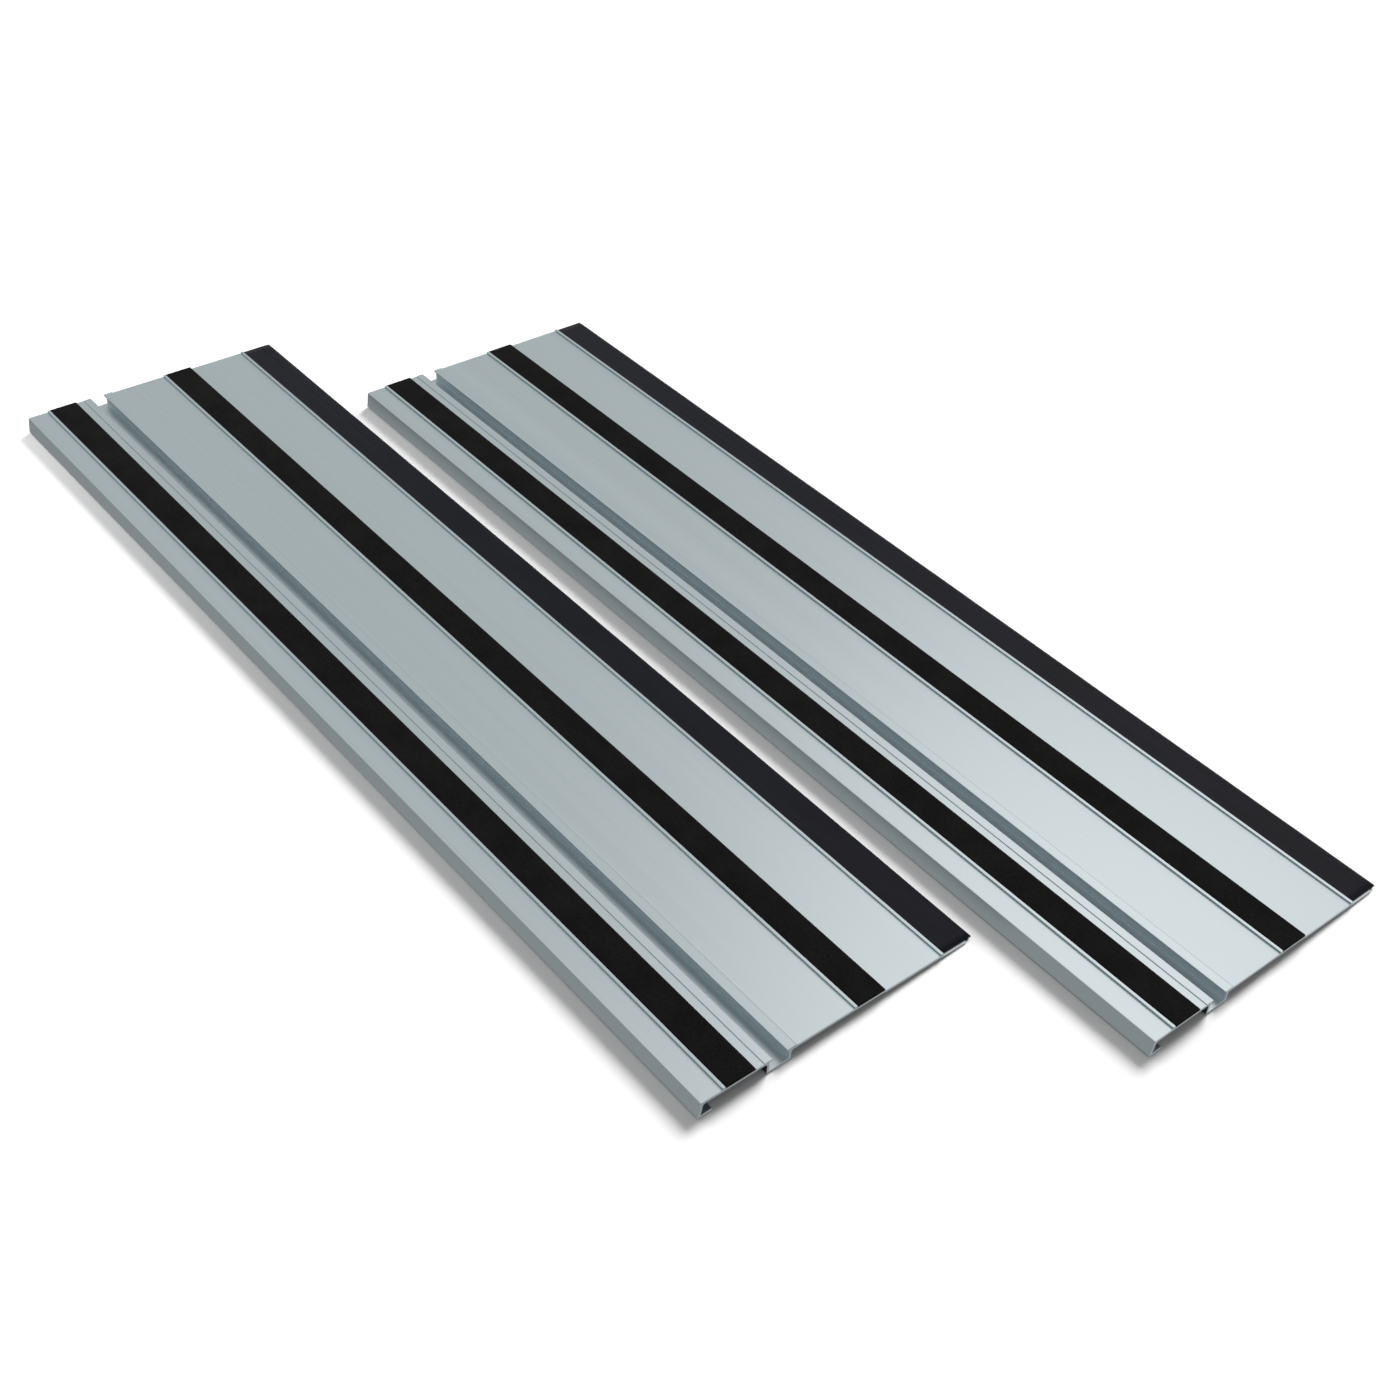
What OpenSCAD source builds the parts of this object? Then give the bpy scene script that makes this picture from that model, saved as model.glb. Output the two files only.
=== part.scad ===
// Two low threshold ramp panels, laid side by side on the floor.
// Each panel is one long aluminium profile with a skirt, a mounting channel, two grip strips
// and a rubber lip. X runs along the panels, Y runs down the slope, Z is up.

/* [Panel] */
// Length of each panel
panel_len = 950; // [600:10:1100]
// Height of the upper edge above the floor
nose_z = 15.1; // [14:0.1:17]
// Fall of the deck, in degrees
slope = 2.5; // [2.3:0.05:2.6]
// Thickness of the deck plate
plate_t = 2.2; // [1.8:0.1:2.4]
// Thickness of the skirt under the upper edge
skirt_t = 2.2; // [1.6:0.1:3]
// How far the skirt leans out at its bottom
skirt_lean = 1.8; // [0.5:0.1:3]
// Reach of the foot under the skirt
foot_w = 12; // [8:0.5:16]
// Thickness of the foot
foot_t = 1.9; // [1.4:0.1:2.4]

/* [Channel] */
// Outer face of the channel's upper wall
channel_y = 57.6; // [56:0.1:58]
// Outer width of the channel
channel_w = 20.8; // [19:0.1:21]
// Thickness of the channel walls
wall_t = 1.9; // [1.4:0.1:2.2]
// Thickness of the channel floor
floor_t = 1.4; // [1:0.1:2]
// Overhang of the deck past the upper wall
upper_overhang = 2.5; // [1:0.1:3]
// Overhang of the deck past the lower wall
lower_overhang = 2; // [1:0.1:3]

/* [Grip strips] */
// Width of each grip strip
grip_w = 25; // [24:0.5:25.5]
// Thickness of each grip strip
grip_t = 1.8; // [1.2:0.1:1.8]
// Upper edge of the upper grip strip
upper_grip_y = 22.6; // [22:0.1:23]
// Upper edge of the lower grip strip
lower_grip_y = 137; // [130:0.5:145]
// Width of the rib above each strip
rib_w = 2.4; // [1.5:0.1:2.4]
// Height of that rib above the deck
rib_h = 1.4; // [1:0.1:1.6]

/* [Rubber lip] */
// Upper edge of the rubber lip
lip_y = 217.6; // [212:0.2:220]
// Width of the rubber lip
lip_w = 28.4; // [26:0.2:32]
// Thickness of the rubber lip over the tongue
lip_t = 1.5; // [1:0.1:1.8]
// Thickness of the tongue that carries it
tongue_t = 1.4; // [1:0.1:1.5]
// How far the rubber stands out past the tongue
lip_over = 5.8; // [5:0.1:7]
// How far the rubber lip stops short of the near end
lip_inset = 1.6; // [0:0.2:4]

/* [Underside pads] */
// Thickness of the anti-slip pads under each panel
pad_t = 0.8; // [0.5:0.1:1]
// How far the pads stop short of each end
pad_inset = 6; // [2:1:20]

/* [Pair] */
// Gap between the two panels
pair_gap = 19;
// Offset of the panels along their length
pair_shift = 144;

/* [Hidden] */

aluminium = [0.68, 0.73, 0.74];
grit_black = [0.10, 0.10, 0.10];
rubber_black = [0.14, 0.15, 0.17];
pad_grey = [0.22, 0.22, 0.23];

// Small clearances, edge breaks and grooves, the same all along the profile
fit_gap = 0.2;
fine = 0.2;
chamfer = 0.3;
fillet = 1.2;
edge_r = 0.5;
nose_r = 0.6;
groove_w = 0.65;
groove_d = 0.35;
grip_sink = 0.05;

fall = tan(slope);
panel_w = lip_y + lip_w;
mid_y = pair_gap / 2 + panel_w;

// Nosing: the deck from the skirt to the channel
nose_y = skirt_lean + nose_r;
function nosing_z(y) = nose_z - (y - nose_y) * fall;
upper_rib_y = upper_grip_y - fit_gap - rib_w;
upper_rib_z = nosing_z(upper_rib_y) + rib_h;
upper_grip_z = upper_rib_z - grip_sink;
upper_pocket_end = upper_grip_y + grip_w + fit_gap;
seam_y = 54.4;

// Channel, with the raised ledges above its two walls
channel_end = channel_y + channel_w;
inner_y0 = channel_y + wall_t;
inner_y1 = channel_end - wall_t;
mouth_y0 = inner_y0 + upper_overhang;
mouth_y1 = inner_y1 - lower_overhang;
floor_z = pad_t + floor_t;
ledge_t = 1.5;
upper_ledge_y = seam_y + groove_w;
upper_ledge_z = nosing_z(seam_y) + 0.35;
upper_ledge_end_z = upper_ledge_z - 0.3;
lower_ledge_z = 12;
lower_ledge_w = 7.4;
lower_ledge_end = mouth_y1 + lower_ledge_w;

// Middle deck, between the channel and the lower grip strip
mid_deck_y = lower_ledge_end + 1.3;
mid_deck_z = 10.9;
function middle_z(y) = mid_deck_z - (y - mid_deck_y) * fall;
lower_rib_y = lower_grip_y - fit_gap - rib_w;
lower_rib_z = middle_z(lower_rib_y) + rib_h;
lower_grip_z = lower_rib_z - grip_sink;
lower_pocket_end = lower_grip_y + grip_w + fit_gap;

// Lower deck, between the lower grip strip and the rubber lip
low_step = 0.8;
low_deck_y = lower_pocket_end + low_step;
low_deck_z = middle_z(low_deck_y) - low_step;
function low_z(y) = low_deck_z - (y - low_deck_y) * fall;
lip_rib_y = lip_y - fit_gap - rib_w;
lip_rib_z = low_z(lip_rib_y) + rib_h - 0.1;
lip_rise = 0.2;
function lip_z(y) = low_z(y) + lip_rise;
function tongue_z(y) = lip_z(y) - lip_t;
tongue_end = panel_w - lip_over;
tongue_r = tongue_t / 2;
tongue_flat = tongue_end - tongue_r;

// Each panel's own corner, where its skirt meets the floor at the near end of X
left_x = -(panel_len + pair_shift) / 2;
right_x = left_x + pair_shift;
left_y = -mid_y;
right_y = pair_gap / 2;

function arc(cy, cz, r, a0, a1, n = 6) =
  [for (i = [0 : n]) let (a = a0 + (a1 - a0) * i / n) [cy + r * cos(a), cz + r * sin(a)]];

// A rib with a fine groove at its foot and small edge breaks
function rib(y, foot_z, top_z, back_z) = [
  [y - groove_w, foot_z],
  [y - groove_w, foot_z - groove_d],
  [y, foot_z - groove_d],
  [y, top_z - fine],
  [y + fine, top_z],
  [y + rib_w - fine, top_z],
  [y + rib_w, top_z - fine],
  [y + rib_w, back_z]
];

// The seat under a grip strip falls with the deck
function seat_z(grip_y, grip_z, y) = grip_z - grip_t - (y - grip_y) * fall;

nosing_top = concat(
  arc(nose_y, nose_z - nose_r, nose_r, 172, 90),
  rib(upper_rib_y, nosing_z(upper_rib_y), upper_rib_z,
    seat_z(upper_grip_y, upper_grip_z, upper_rib_y + rib_w)),
  [
    [upper_pocket_end, seat_z(upper_grip_y, upper_grip_z, upper_pocket_end)],
    [upper_pocket_end, nosing_z(upper_pocket_end) - fine],
    [upper_pocket_end + fine, nosing_z(upper_pocket_end + fine)],
    [seam_y, nosing_z(seam_y)],
    [seam_y, nosing_z(seam_y) - groove_d],
    [upper_ledge_y, nosing_z(seam_y) - groove_d],
    [upper_ledge_y, upper_ledge_z - fine],
    [upper_ledge_y + fine, upper_ledge_z]
  ],
  arc(mouth_y0 - edge_r, upper_ledge_end_z - edge_r, edge_r, 90, 0)
);

channel_inside = concat(
  [
    [mouth_y0, upper_ledge_end_z - ledge_t],
    [inner_y0, upper_ledge_end_z - ledge_t]
  ],
  arc(inner_y0 + edge_r, floor_z + edge_r, edge_r, 180, 270, 3),
  arc(inner_y1 - edge_r, floor_z + edge_r, edge_r, 270, 360, 3),
  [
    [inner_y1, lower_ledge_z - ledge_t],
    [mouth_y1, lower_ledge_z - ledge_t]
  ]
);

middle_top = concat(
  arc(mouth_y1 + edge_r, lower_ledge_z - edge_r, edge_r, 180, 90),
  [
    [lower_ledge_end, lower_ledge_z],
    [lower_ledge_end + edge_r, lower_ledge_z - fine],
    [mid_deck_y, middle_z(mid_deck_y)]
  ],
  rib(lower_rib_y, middle_z(lower_rib_y), lower_rib_z,
    seat_z(lower_grip_y, lower_grip_z, lower_rib_y + rib_w)),
  [
    [lower_pocket_end, seat_z(lower_grip_y, lower_grip_z, lower_pocket_end)],
    [low_deck_y, low_z(low_deck_y)]
  ]
);

tongue_top = concat(
  rib(lip_rib_y, low_z(lip_rib_y), lip_rib_z, tongue_z(lip_rib_y + rib_w)),
  [[tongue_flat, tongue_z(tongue_flat)]],
  arc(tongue_flat, tongue_z(tongue_flat) - tongue_r, tongue_r, 80, -90)
);

// The underside steps down with the deck, below the lower grip strip and below the lip's rib
underside = [
  [lip_y + 4, tongue_z(lip_y + 4) - tongue_t],
  [lip_rib_y - 1, low_z(lip_rib_y - 1) - plate_t],
  [low_deck_y + 2, low_z(low_deck_y + 2) - plate_t],
  [lower_pocket_end - 2, middle_z(lower_pocket_end - 2) - plate_t],
  [channel_end + fillet, middle_z(channel_end + fillet) - plate_t],
  [channel_end, middle_z(channel_end) - plate_t - fillet],
  [channel_end, pad_t + chamfer],
  [channel_end - chamfer, pad_t],
  [channel_y + chamfer, pad_t],
  [channel_y, pad_t + chamfer],
  [channel_y, nosing_z(channel_y) - plate_t - fillet],
  [channel_y - fillet, nosing_z(channel_y - fillet) - plate_t]
];

skirt_inside_y = skirt_lean + skirt_t;
skirt_inside = concat(
  [
    [skirt_inside_y + fillet, nosing_z(skirt_inside_y + fillet) - plate_t],
    [skirt_inside_y, nosing_z(skirt_inside_y) - plate_t - fillet],
    [skirt_t + chamfer, pad_t + foot_t + chamfer],
    [skirt_t + 2 * chamfer, pad_t + foot_t]
  ],
  arc(foot_w - foot_t / 2, pad_t + foot_t / 2, foot_t / 2, 90, -90),
  [
    [chamfer, pad_t],
    [0, pad_t + chamfer]
  ]
);

module along_panel(len) {
  rotate([90, 0, 90]) linear_extrude(len) children();
}

module left_place() {
  translate([left_x, left_y, 0]) children();
}

module right_place() {
  translate([right_x, right_y, 0]) children();
}

module deck_profile() {
  along_panel(panel_len)
    polygon(concat(nosing_top, channel_inside, middle_top, tongue_top, underside, skirt_inside));
}

// A grip strip lies in its pocket, its top level with the rib
module grip(y, top_z) {
  drop = grip_w * fall;
  along_panel(panel_len)
    polygon([
      [y, top_z - grip_t],
      [y + grip_w, top_z - grip_t - drop],
      [y + grip_w, top_z - drop - fine],
      [y + grip_w - fine, top_z - drop],
      [y + fine, top_z],
      [y, top_z - fine]
    ]);
}

module upper_grip() {
  grip(upper_grip_y, upper_grip_z);
}

module lower_grip() {
  grip(lower_grip_y, lower_grip_z);
}

// The rubber lip covers the tongue, and past its end it reaches down to the floor
lip_foot_w = 1.8;
lip_foot_y = panel_w - 4.7;
lip_tip_r = 0.8;
lip_tip_y = panel_w - lip_tip_r;
lip_tip_z = lip_z(panel_w) - lip_tip_r - chamfer;
lip_bend_y = panel_w - 3;
module rubber_lip() {
  along_panel(panel_len - lip_inset)
    polygon(concat(
      [
        [lip_y, tongue_z(lip_y)],
        [lip_y, lip_z(lip_y) - chamfer],
        [lip_y + chamfer, lip_z(lip_y)],
        [lip_bend_y, lip_z(lip_bend_y)]
      ],
      arc(lip_tip_y, lip_tip_z, lip_tip_r, 80, -90),
      [
        [lip_foot_y + lip_foot_w + 2 * chamfer, lip_tip_z - lip_tip_r],
        [lip_foot_y + lip_foot_w + chamfer, chamfer],
        [lip_foot_y + lip_foot_w, 0],
        [lip_foot_y, 0],
        [lip_foot_y - chamfer, chamfer],
        [tongue_end + fit_gap, tongue_z(tongue_flat)],
        [tongue_flat, tongue_z(tongue_flat)]
      ]
    ));
}

// Long flat pads under the foot and the channel
pad_margin = 1.4;
module pad(y, w) {
  translate([pad_inset, y, 0]) cube([panel_len - 2 * pad_inset, w, pad_t]);
}

module skirt_pad() {
  pad(pad_margin, foot_w - 2 * pad_margin);
}

module channel_pad() {
  pad(channel_y + pad_margin, channel_w - 2 * pad_margin);
}

module left_deck_profile() { color(aluminium) left_place() deck_profile(); }
module left_upper_grip() { color(grit_black) left_place() upper_grip(); }
module left_lower_grip() { color(grit_black) left_place() lower_grip(); }
module left_rubber_lip() { color(rubber_black) left_place() rubber_lip(); }
module left_skirt_pad() { color(pad_grey) left_place() skirt_pad(); }
module left_channel_pad() { color(pad_grey) left_place() channel_pad(); }
module right_deck_profile() { color(aluminium) right_place() deck_profile(); }
module right_upper_grip() { color(grit_black) right_place() upper_grip(); }
module right_lower_grip() { color(grit_black) right_place() lower_grip(); }
module right_rubber_lip() { color(rubber_black) right_place() rubber_lip(); }
module right_skirt_pad() { color(pad_grey) right_place() skirt_pad(); }
module right_channel_pad() { color(pad_grey) right_place() channel_pad(); }

left_deck_profile();
left_upper_grip();
left_lower_grip();
left_rubber_lip();
left_skirt_pad();
left_channel_pad();
right_deck_profile();
right_upper_grip();
right_lower_grip();
right_rubber_lip();
right_skirt_pad();
right_channel_pad();
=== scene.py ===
import math

import bpy
import numpy as np
from mathutils import Matrix, Vector


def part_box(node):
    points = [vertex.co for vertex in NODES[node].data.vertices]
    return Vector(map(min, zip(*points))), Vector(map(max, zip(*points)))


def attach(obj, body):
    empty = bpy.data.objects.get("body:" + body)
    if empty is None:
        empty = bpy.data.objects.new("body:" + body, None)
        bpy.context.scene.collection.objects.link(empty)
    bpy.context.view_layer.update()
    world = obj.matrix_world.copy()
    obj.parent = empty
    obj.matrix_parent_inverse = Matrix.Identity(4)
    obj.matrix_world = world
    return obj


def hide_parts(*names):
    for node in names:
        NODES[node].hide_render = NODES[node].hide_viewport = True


# Two aluminium threshold-ramp panels on a white studio floor. Metres, in the CAD frame.
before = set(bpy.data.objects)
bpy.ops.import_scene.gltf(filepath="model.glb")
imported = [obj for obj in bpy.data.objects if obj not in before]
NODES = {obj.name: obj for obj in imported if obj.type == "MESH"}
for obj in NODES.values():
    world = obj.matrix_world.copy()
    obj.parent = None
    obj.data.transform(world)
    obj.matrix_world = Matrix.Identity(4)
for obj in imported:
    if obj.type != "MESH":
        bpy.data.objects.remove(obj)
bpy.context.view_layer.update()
SIDES = ("left", "right")

MM = 0.001
SLOPE = math.radians(2.5)  # fall of the deck and of the strips on it
SAME_PLACE = 0.001 * MM

# ---------------------------------------------------------------- node helpers


def new_material(name):
    """An empty node material with one Principled shader."""
    mat = bpy.data.materials.new(name)
    mat.use_nodes = True
    tree = mat.node_tree
    tree.nodes.clear()
    out = tree.nodes.new("ShaderNodeOutputMaterial")
    bsdf = tree.nodes.new("ShaderNodeBsdfPrincipled")
    tree.links.new(bsdf.outputs[0], out.inputs["Surface"])
    return mat, tree, bsdf


def noise_of(tree, cells, detail=2.0, roughness=0.5):
    """Noise in object coordinates. cells is per metre: a number, or one each for X, Y and Z."""
    coord = tree.nodes.new("ShaderNodeTexCoord")
    mapping = tree.nodes.new("ShaderNodeMapping")
    mapping.inputs["Scale"].default_value = cells if isinstance(cells, tuple) else (cells,) * 3
    noise = tree.nodes.new("ShaderNodeTexNoise")
    noise.inputs["Scale"].default_value = 1.0
    noise.inputs["Detail"].default_value = detail
    noise.inputs["Roughness"].default_value = roughness
    tree.links.new(coord.outputs["Object"], mapping.inputs["Vector"])
    tree.links.new(mapping.outputs["Vector"], noise.inputs["Vector"])
    return noise.outputs["Fac"]


def remap(tree, value, low, high, to_low=0.0, to_high=1.0):
    """value, moved from low..high to to_low..to_high and held between them."""
    node = tree.nodes.new("ShaderNodeMapRange")
    node.inputs["From Min"].default_value = low
    node.inputs["From Max"].default_value = high
    node.inputs["To Min"].default_value = to_low
    node.inputs["To Max"].default_value = to_high
    tree.links.new(value, node.inputs["Value"])
    return node.outputs["Result"]


def combine(tree, operation, first, second):
    """first and second, added, multiplied and so on. Each is a socket or a number."""
    node = tree.nodes.new("ShaderNodeMath")
    node.operation = operation
    for socket, value in zip(node.inputs, (first, second)):
        if isinstance(value, (int, float)):
            socket.default_value = value
        else:
            tree.links.new(value, socket)
    return node.outputs[0]


def weighted(tree, first, share, second):
    """share of first and the rest of second."""
    return combine(tree, "ADD", combine(tree, "MULTIPLY", first, share),
                   combine(tree, "MULTIPLY", second, 1.0 - share))


def mix_colour(tree, factor, first, second):
    """From colour first to colour second as factor goes from 0 to 1."""
    node = tree.nodes.new("ShaderNodeMix")
    node.data_type = "RGBA"
    tree.links.new(factor, node.inputs["Factor"])
    for socket, value in ((node.inputs[6], first), (node.inputs[7], second)):
        if isinstance(value, tuple):
            socket.default_value = (*value, 1.0)
        else:
            tree.links.new(value, socket)
    return node.outputs[2]


def add_bump(tree, bsdf, height, depth, strength):
    """A bump of height, depth metres deep, on top of any that bsdf has."""
    node = tree.nodes.new("ShaderNodeBump")
    node.inputs["Strength"].default_value = strength
    node.inputs["Distance"].default_value = depth
    tree.links.new(height, node.inputs["Height"])
    normal = bsdf.inputs["Normal"]
    if normal.is_linked:
        tree.links.new(normal.links[0].from_socket, node.inputs["Normal"])
    tree.links.new(node.outputs["Normal"], normal)


# ---------------------------------------------------------------- materials


def anodised_aluminium():
    """Satin anodised extrusion: die lines along the length, saw marks on the cut ends."""
    mat, tree, bsdf = new_material("anodised_aluminium")
    bsdf.inputs["Metallic"].default_value = 1.0
    die_lines = noise_of(tree, (1.2, 900, 900), 3.0, 0.6)
    streaks = noise_of(tree, (0.9, 60, 60))
    grain = noise_of(tree, (60, 2600, 2600), 2.0, 0.6)
    saw_marks = noise_of(tree, (1, 160, 2600), 3.0, 0.6)

    coord = tree.nodes.new("ShaderNodeTexCoord")
    parts = tree.nodes.new("ShaderNodeSeparateXYZ")
    tree.links.new(coord.outputs["Normal"], parts.inputs[0])
    along = combine(tree, "ABSOLUTE", parts.outputs["X"], 0.0)
    cut_end = remap(tree, along, 0.90, 0.98)

    tone = weighted(tree, die_lines, 0.6, streaks)
    drawn = mix_colour(tree, remap(tree, tone, 0.35, 0.65),
                       (0.540, 0.622, 0.648), (0.580, 0.666, 0.692))
    sawn = mix_colour(tree, remap(tree, saw_marks, 0.35, 0.65),
                      (0.52, 0.58, 0.60), (0.64, 0.70, 0.72))
    tree.links.new(mix_colour(tree, cut_end, drawn, sawn), bsdf.inputs["Base Color"])

    satin = remap(tree, tone, 0.35, 0.65, 0.36, 0.42)
    rough = combine(tree, "ADD", satin, combine(tree, "MULTIPLY", cut_end, 0.05))
    tree.links.new(rough, bsdf.inputs["Roughness"])
    add_bump(tree, bsdf, die_lines, 0.04 * MM, 0.6)
    add_bump(tree, bsdf, grain, 0.01 * MM, 0.6)
    return mat


def grit():
    """Matt black mineral grit on the anti-slip tape."""
    mat, tree, bsdf = new_material("grit_strip")
    coarse = noise_of(tree, 900, 2.0, 0.6)
    fine = noise_of(tree, 2600, 2.0, 0.7)
    patches = noise_of(tree, 45)
    tone = weighted(tree, coarse, 0.65, patches)
    colour = mix_colour(tree, remap(tree, tone, 0.38, 0.66),
                        (0.0030, 0.0030, 0.0030), (0.0080, 0.0079, 0.0077))
    tree.links.new(colour, bsdf.inputs["Base Color"])
    tree.links.new(remap(tree, fine, 0.3, 0.7, 0.78, 0.98), bsdf.inputs["Roughness"])
    bsdf.inputs["Specular IOR Level"].default_value = 0.10
    add_bump(tree, bsdf, coarse, 0.18 * MM, 0.8)
    add_bump(tree, bsdf, fine, 0.06 * MM, 0.7)
    return mat


def lip_rubber():
    """Blue-black extruded rubber with faint flow lines and a soft sheen."""
    mat, tree, bsdf = new_material("lip_rubber")
    flow = noise_of(tree, (2.0, 700, 700), 2.0, 0.6)
    bloom = noise_of(tree, (14, 60, 60), 3.0, 0.6)
    pores = noise_of(tree, 1700, 2.0, 0.6)
    colour = mix_colour(tree, remap(tree, bloom, 0.35, 0.65),
                        (0.0024, 0.0028, 0.0050), (0.0040, 0.0046, 0.0076))
    tree.links.new(colour, bsdf.inputs["Base Color"])
    tree.links.new(remap(tree, flow, 0.35, 0.65, 0.42, 0.52), bsdf.inputs["Roughness"])
    bsdf.inputs["Specular IOR Level"].default_value = 0.13
    add_bump(tree, bsdf, flow, 0.03 * MM, 0.6)
    add_bump(tree, bsdf, pores, 0.02 * MM, 0.5)
    return mat


def pad_rubber():
    """Matt rubber of the strips under the foot and the channel."""
    mat, tree, bsdf = new_material("pad_rubber")
    dust = noise_of(tree, 120, 3.0, 0.6)
    pores = noise_of(tree, 1500, 2.0, 0.6)
    colour = mix_colour(tree, remap(tree, dust, 0.35, 0.65),
                        (0.018, 0.018, 0.019), (0.034, 0.034, 0.035))
    tree.links.new(colour, bsdf.inputs["Base Color"])
    tree.links.new(remap(tree, pores, 0.3, 0.7, 0.70, 0.85), bsdf.inputs["Roughness"])
    bsdf.inputs["Specular IOR Level"].default_value = 0.35
    add_bump(tree, bsdf, pores, 0.04 * MM, 0.6)
    return mat


# ---------------------------------------------------------------- mesh helpers


def add_mesh(name, points, faces, material, smooth=True):
    """A new mesh object in the scene."""
    mesh = bpy.data.meshes.new(name)
    mesh.from_pydata([tuple(p) for p in points], [], faces)
    mesh.validate()
    mesh.update()
    mesh.materials.append(material)
    for polygon in mesh.polygons:
        polygon.use_smooth = smooth
    obj = bpy.data.objects.new(name, mesh)
    bpy.context.scene.collection.objects.link(obj)
    return obj


def loft(name, rows, material):
    """A closed bar: rows is an array of section loops (row, point, xyz), joined and capped."""
    count, around = rows.shape[:2]
    faces = []
    for row in range(count - 1):
        a = row * around
        b = a + around
        for i in range(around):
            j = (i + 1) % around
            faces.append((a + i, a + j, b + j, b + i))
    last = (count - 1) * around
    faces.append(tuple(range(around))[::-1])
    faces.append(tuple(last + i for i in range(around)))
    return add_mesh(name, rows.reshape(-1, 3), faces, material)


def section(node):
    """The outline of an extruded CAD node at its +X end, as (y, z) points in order round it."""
    mesh = NODES[node].data
    end_x = max(v.co.x for v in mesh.vertices)
    end = {v.index: (round(v.co.y, 7), round(v.co.z, 7)) for v in mesh.vertices
           if end_x - v.co.x < SAME_PLACE}
    # An edge between two faces of the end comes twice, once each way. The outline's come once.
    edges = set()
    for polygon in mesh.polygons:
        ring = list(polygon.vertices)
        if not all(i in end for i in ring):
            continue
        for i, j in zip(ring, ring[1:] + ring[:1]):
            if (end[j], end[i]) in edges:
                edges.remove((end[j], end[i]))
            else:
                edges.add((end[i], end[j]))
    following = dict(edges)
    start = min(following)
    outline = [start]
    while following[outline[-1]] != start:
        outline.append(following[outline[-1]])
    return np.array(outline)


def soften(outline, radius, step):
    """A closed outline, its corners rounded by radius and its long sides cut to about step."""
    points = []
    count = len(outline)
    for i in range(count):
        before, here, after = outline[i - 1], outline[i], outline[(i + 1) % count]
        into, out_of = here - before, after - here
        reach = min(radius, 0.45 * np.linalg.norm(into), 0.45 * np.linalg.norm(out_of))
        start = here - into / np.linalg.norm(into) * reach
        end = here + out_of / np.linalg.norm(out_of) * reach
        for t in (0.0, 0.33, 0.67, 1.0):
            points.append((1 - t) ** 2 * start + 2 * t * (1 - t) * here + t * t * end)
    dense = []
    for a, b in zip(points, points[1:] + points[:1]):
        pieces = max(1, int(np.linalg.norm(b - a) / step))
        dense.extend(a + (b - a) * k / pieces for k in range(pieces))
    return np.array(dense)


def repeat_along(x, outline):
    """The (y, z) outline at each place in x, as section loops (row, point, xyz)."""
    loops = np.zeros((len(x), len(outline), 3))
    loops[:, :, 0] = x[:, None]
    loops[:, :, 1:] = outline[None]
    return loops


def finish_piece(piece, side, node):
    """Joins a piece to its panel's body in place of a CAD node."""
    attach(piece, f"{side}_panel")
    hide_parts(node)


# ---------------------------------------------------------------- pieces


def grit_surface(low, high, seed):
    """A tape's top as a grid (row, column, xyz), its points lowered and moved at random."""
    pitch = 1.0 * MM
    jitter = 0.35  # sideways, as a share of the pitch
    grit_depth = 0.24 * MM
    edge_drop = 0.22 * MM
    edge_wear = 0.05 * MM
    end_drop = 0.06 * MM
    rows = round((high.x - low.x) / pitch)
    columns = round((high.y - low.y) / pitch)
    rng = np.random.default_rng(seed)
    x, y = np.meshgrid(np.linspace(low.x, high.x, rows + 1),
                       np.linspace(low.y, high.y, columns + 1), indexing="ij")
    inside = np.zeros_like(x)
    inside[1:-1, 1:-1] = 1.0
    x = x + inside * rng.uniform(-jitter, jitter, x.shape) * pitch
    y = y + inside * rng.uniform(-jitter, jitter, x.shape) * pitch
    plane = high.z - (y - low.y) * math.tan(SLOPE)
    drop = rng.random(x.shape) ** 1.6 * grit_depth
    drop[:, 0] = edge_drop + edge_wear * rng.random(rows + 1)
    drop[:, -1] = edge_drop + edge_wear * rng.random(rows + 1)
    drop[0] += end_drop
    drop[-1] += end_drop
    return np.stack([x, y, plane - drop], -1)


def tape_underside(low, high, rows):
    """The two lower edges of a tape, as a grid (row, edge, xyz)."""
    fall = (high.y - low.y) * math.tan(SLOPE)
    base = np.zeros((rows + 1, 2, 3))
    base[:, :, 0] = np.linspace(low.x, high.x, rows + 1)[:, None]
    base[:, :, 1] = (low.y, high.y)
    base[:, :, 2] = (low.z + fall, low.z)
    return base


def tape_faces(rows, columns):
    """Faces between a tape's top grid and its two lower edges: top, sides, underside and ends."""
    across = columns + 1
    start = (rows + 1) * across
    faces = []
    for row in range(rows):
        a = row * across
        b = a + across
        left = start + 2 * row
        right = left + 1
        for c in range(columns):
            faces.append((a + c, b + c, b + c + 1, a + c + 1))
        faces.append((left, left + 2, b, a))
        faces.append((a + columns, b + columns, right + 2, right))
        faces.append((left, right, right + 2, left + 2))
    last = rows * across
    faces.append((start, *range(0, across), start + 1))
    faces.append((start + 2 * rows + 1, *range(last + columns, last - 1, -1), start + 2 * rows))
    return faces


def grip_strip(side, which, material, seed):
    """Tape with real grit, on a grid about a millimetre apart."""
    node = f"{side}_{which}_grip"
    low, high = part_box(node)
    top = grit_surface(low, high, seed)
    rows, columns = top.shape[0] - 1, top.shape[1] - 1
    base = tape_underside(low, high, rows)
    points = np.concatenate([top.reshape(-1, 3), base.reshape(-1, 3)])
    piece = add_mesh(f"{side}_{which}_grip_tape", points, tape_faces(rows, columns), material)
    finish_piece(piece, side, node)


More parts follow.
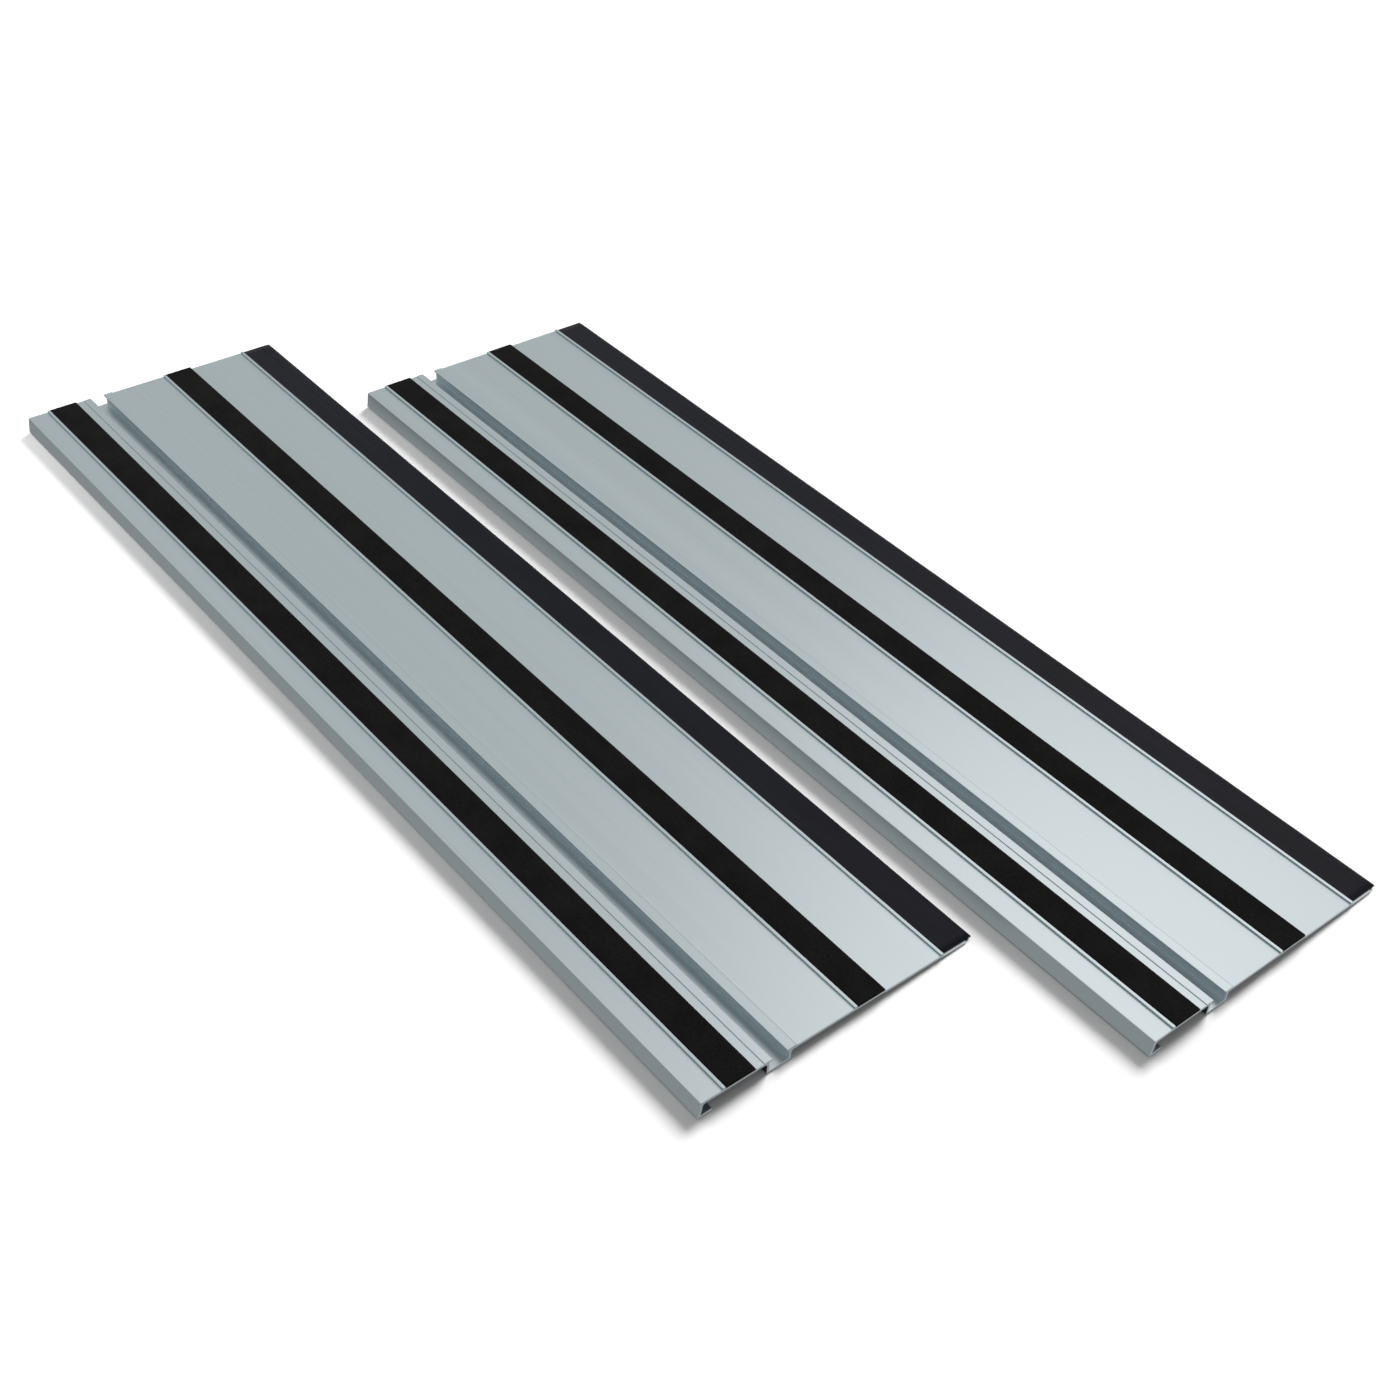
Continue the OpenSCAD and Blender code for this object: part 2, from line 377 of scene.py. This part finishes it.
def rubber_lip(side, material, seed):
    """The clipped-on rubber: moulded corners rounded, free edge very slightly wavy."""
    node = f"{side}_rubber_lip"
    low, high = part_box(node)
    rows = 160
    free_width = 5 * MM
    waviness = 0.10 * MM
    outline = soften(section(node), radius=0.35 * MM, step=1.2 * MM)
    x = np.linspace(low.x, high.x, rows + 1)
    phases = np.random.default_rng(seed).uniform(0, 2 * math.pi, 3)
    waves = (3, 7, 13)  # whole waves along the panel
    wave = sum(np.sin(2 * math.pi * n * (x - low.x) / (high.x - low.x) + phase)
               for n, phase in zip(waves, phases)) / len(waves)
    loops = repeat_along(x, outline)
    freedom = np.clip((outline[:, 0] - (high.y - free_width)) / free_width, 0, 1) ** 2
    loops[:, :, 1] -= (1 + wave[:, None]) * freedom[None, :] * waviness
    piece = loft(f"{side}_rubber_lip_strip", loops, material)
    finish_piece(piece, side, node)


def pad_strip(side, which, material):
    """A thin rubber strip with rounded edges and shallow cross ribs underneath."""
    node = f"{side}_{which}_pad"
    low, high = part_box(node)
    rib_pitch = 3.0 * MM
    rib_depth = 0.25 * MM
    ribs = round((high.x - low.x) / rib_pitch)
    corners = np.array([(low.y, low.z), (high.y, low.z), (high.y, high.z), (low.y, high.z)])
    outline = soften(corners, radius=0.25 * MM, step=2.0 * MM)
    x = np.linspace(low.x, high.x, 4 * ribs + 1)
    raised = np.tile((0.0, 1.0, 1.0, 0.0), ribs + 1)[: len(x)]
    under = outline[:, 1] < low.z + 0.3 * (high.z - low.z)
    loops = repeat_along(x, outline)
    loops[:, :, 2] += raised[:, None] * under[None, :] * rib_depth
    piece = loft(f"{side}_{which}_pad_strip", loops, material)
    finish_piece(piece, side, node)


# ---------------------------------------------------------------- studio


def aim(obj, target, roll=0.0):
    """Turns a camera or light so that it looks at target."""
    turn = (Vector(target) - obj.location).to_track_quat("-Z", "Y").to_matrix()
    obj.rotation_euler = (turn @ Matrix.Rotation(roll, 3, "Z")).to_euler()


def add_camera():
    """The camera at the reference view."""
    place = (0.9602, -0.7570, 1.0265)
    target = (0.1039, -0.0082, 0.008)
    data = bpy.data.cameras.new("camera")
    data.sensor_width = 36
    data.lens = 50.67
    camera = bpy.data.objects.new("camera", data)
    camera.location = place
    aim(camera, target, roll=math.radians(2.664))
    bpy.context.scene.collection.objects.link(camera)
    bpy.context.scene.camera = camera


def add_sheet(name, low, high, z, material):
    """A flat rectangle of the stage at height z."""
    points = [(low[0], low[1], z), (high[0], low[1], z),
              (high[0], high[1], z), (low[0], high[1], z)]
    sheet = add_mesh(name, points, [(0, 1, 2, 3)], material, smooth=False)
    return sheet


def add_floor():
    """A white floor that gloss looks through, and below it a card in the dark under each panel."""
    mat, _, bsdf = new_material("studio_floor")
    half = 8.0
    card_depth = 0.5 * MM
    bsdf.inputs["Base Color"].default_value = (0.93, 0.93, 0.93, 1)
    bsdf.inputs["Roughness"].default_value = 0.9
    bsdf.inputs["Specular IOR Level"].default_value = 0.1
    floor = add_sheet("studio_floor", (-half, -half), (half, half), 0, mat)
    floor.visible_glossy = False
    for side in SIDES:
        low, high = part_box(f"{side}_deck_profile")
        card = add_sheet(f"{side}_under_card", low, high, -card_depth, mat)
        card.visible_camera = False
        card.visible_diffuse = False
        card.visible_shadow = False


def add_light(name, kind, energy, place, target, gloss=False):
    """A light at place, turned to target. It shows in gloss only if gloss is true."""
    data = bpy.data.lights.new(name, kind)
    data.energy = energy
    light = bpy.data.objects.new(name, data)
    light.location = place
    light.visible_camera = False
    light.visible_glossy = gloss
    aim(light, target)
    bpy.context.scene.collection.objects.link(light)
    return data


def add_sky():
    """A grey surround that only gloss sees, darker low down on the camera's side.

    To the camera it is white.
    """
    world = bpy.data.worlds.new("studio")
    bpy.context.scene.world = world
    world.use_nodes = True
    world.cycles_visibility.diffuse = False
    tree = world.node_tree
    coord = tree.nodes.new("ShaderNodeTexCoord")
    parts = tree.nodes.new("ShaderNodeSeparateXYZ")
    tree.links.new(coord.outputs["Generated"], parts.inputs[0])
    up_and_back = combine(tree, "ADD", parts.outputs["Y"], parts.outputs["Z"])
    grey = mix_colour(tree, remap(tree, up_and_back, -0.5, 0.15),
                      (0.38, 0.38, 0.38), (0.66, 0.66, 0.66))
    path = tree.nodes.new("ShaderNodeLightPath")
    seen = mix_colour(tree, path.outputs["Is Camera Ray"], grey, (1.0, 1.0, 1.0))
    tree.links.new(seen, tree.nodes["Background"].inputs["Color"])


def add_studio():
    """Floor, lights and colour handling.

    The key, the ambient and the fill light only matt surfaces. The metal's sheen comes from
    the back light and the sky.
    """
    add_floor()
    add_sky()
    key = add_light("key", "SUN", 3.8, (-0.28, 0.95, 0.80), (0, 0, 0))
    key.angle = math.radians(26)
    ambient = add_light("ambient", "SUN", 0.9, (0.0, 0.1, 1.0), (0, 0, 0))
    ambient.angle = math.radians(120)
    back = add_light("back_right", "AREA", 5.2, (-0.17, 1.44, 1.75), (0.45, 0.1, 0.0), gloss=True)
    back.color = (1.0, 0.89, 0.87)
    back.size = 1.3
    fill = add_light("fill", "AREA", 4.4, (-1.0, -0.55, 0.45), (-0.5, -0.25, 0.0))
    fill.size = 0.5
    bpy.context.scene.view_settings.view_transform = "Standard"


# ---------------------------------------------------------------- build

add_camera()
metal = anodised_aluminium()
tape = grit()
rubber = lip_rubber()
pad = pad_rubber()
for number, side in enumerate(SIDES):
    deck = NODES[f"{side}_deck_profile"]
    deck.material_slots[0].material = metal
    grip_strip(side, "upper", tape, 10 + number)
    grip_strip(side, "lower", tape, 20 + number)
    rubber_lip(side, rubber, 30 + number)
    pad_strip(side, "skirt", pad)
    pad_strip(side, "channel", pad)
add_studio()
